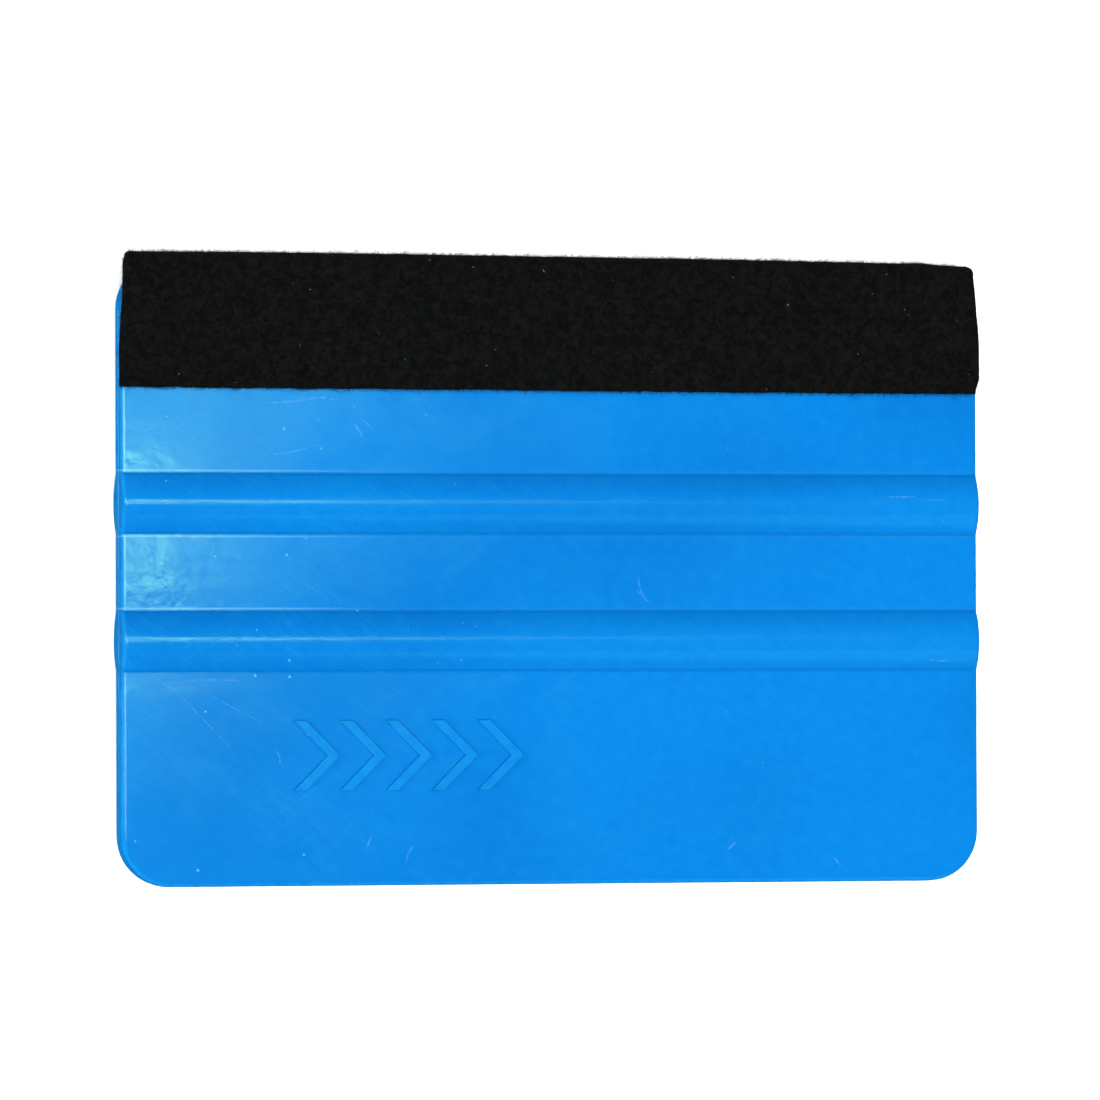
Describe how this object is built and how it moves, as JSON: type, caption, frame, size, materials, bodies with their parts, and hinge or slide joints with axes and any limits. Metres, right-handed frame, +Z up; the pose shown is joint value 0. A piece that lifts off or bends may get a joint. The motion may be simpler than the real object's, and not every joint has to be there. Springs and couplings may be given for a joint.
{
  "type": "squeegee applicator",
  "caption": "Hand squeegee card of moulded plastic with finger ribs across both faces and a felt strip folded over one working edge, for smoothing vinyl film.",
  "frame": {"origin": "bottom centre of the whole object's box, midway along the blade and level with the crests of the back ribs it lies on", "axes": "+X along the blade and its ribs, +Y towards the felt-covered working edge, +Z up through the thickness, out of the front face"},
  "size_m": [0.1016, 0.072, 0.0055],
  "materials": {
    "blue_plastic": "satin injection-moulded polypropylene with fine wear",
    "adhesive": "translucent pressure-sensitive acrylic film",
    "black_felt": "needled synthetic felt with a short nap"
  },
  "bodies": {
    "root": {"squeegee_blade": "blue_plastic", "adhesive_film": "adhesive", "felt_strip": "black_felt"}
  },
  "joints": []
}
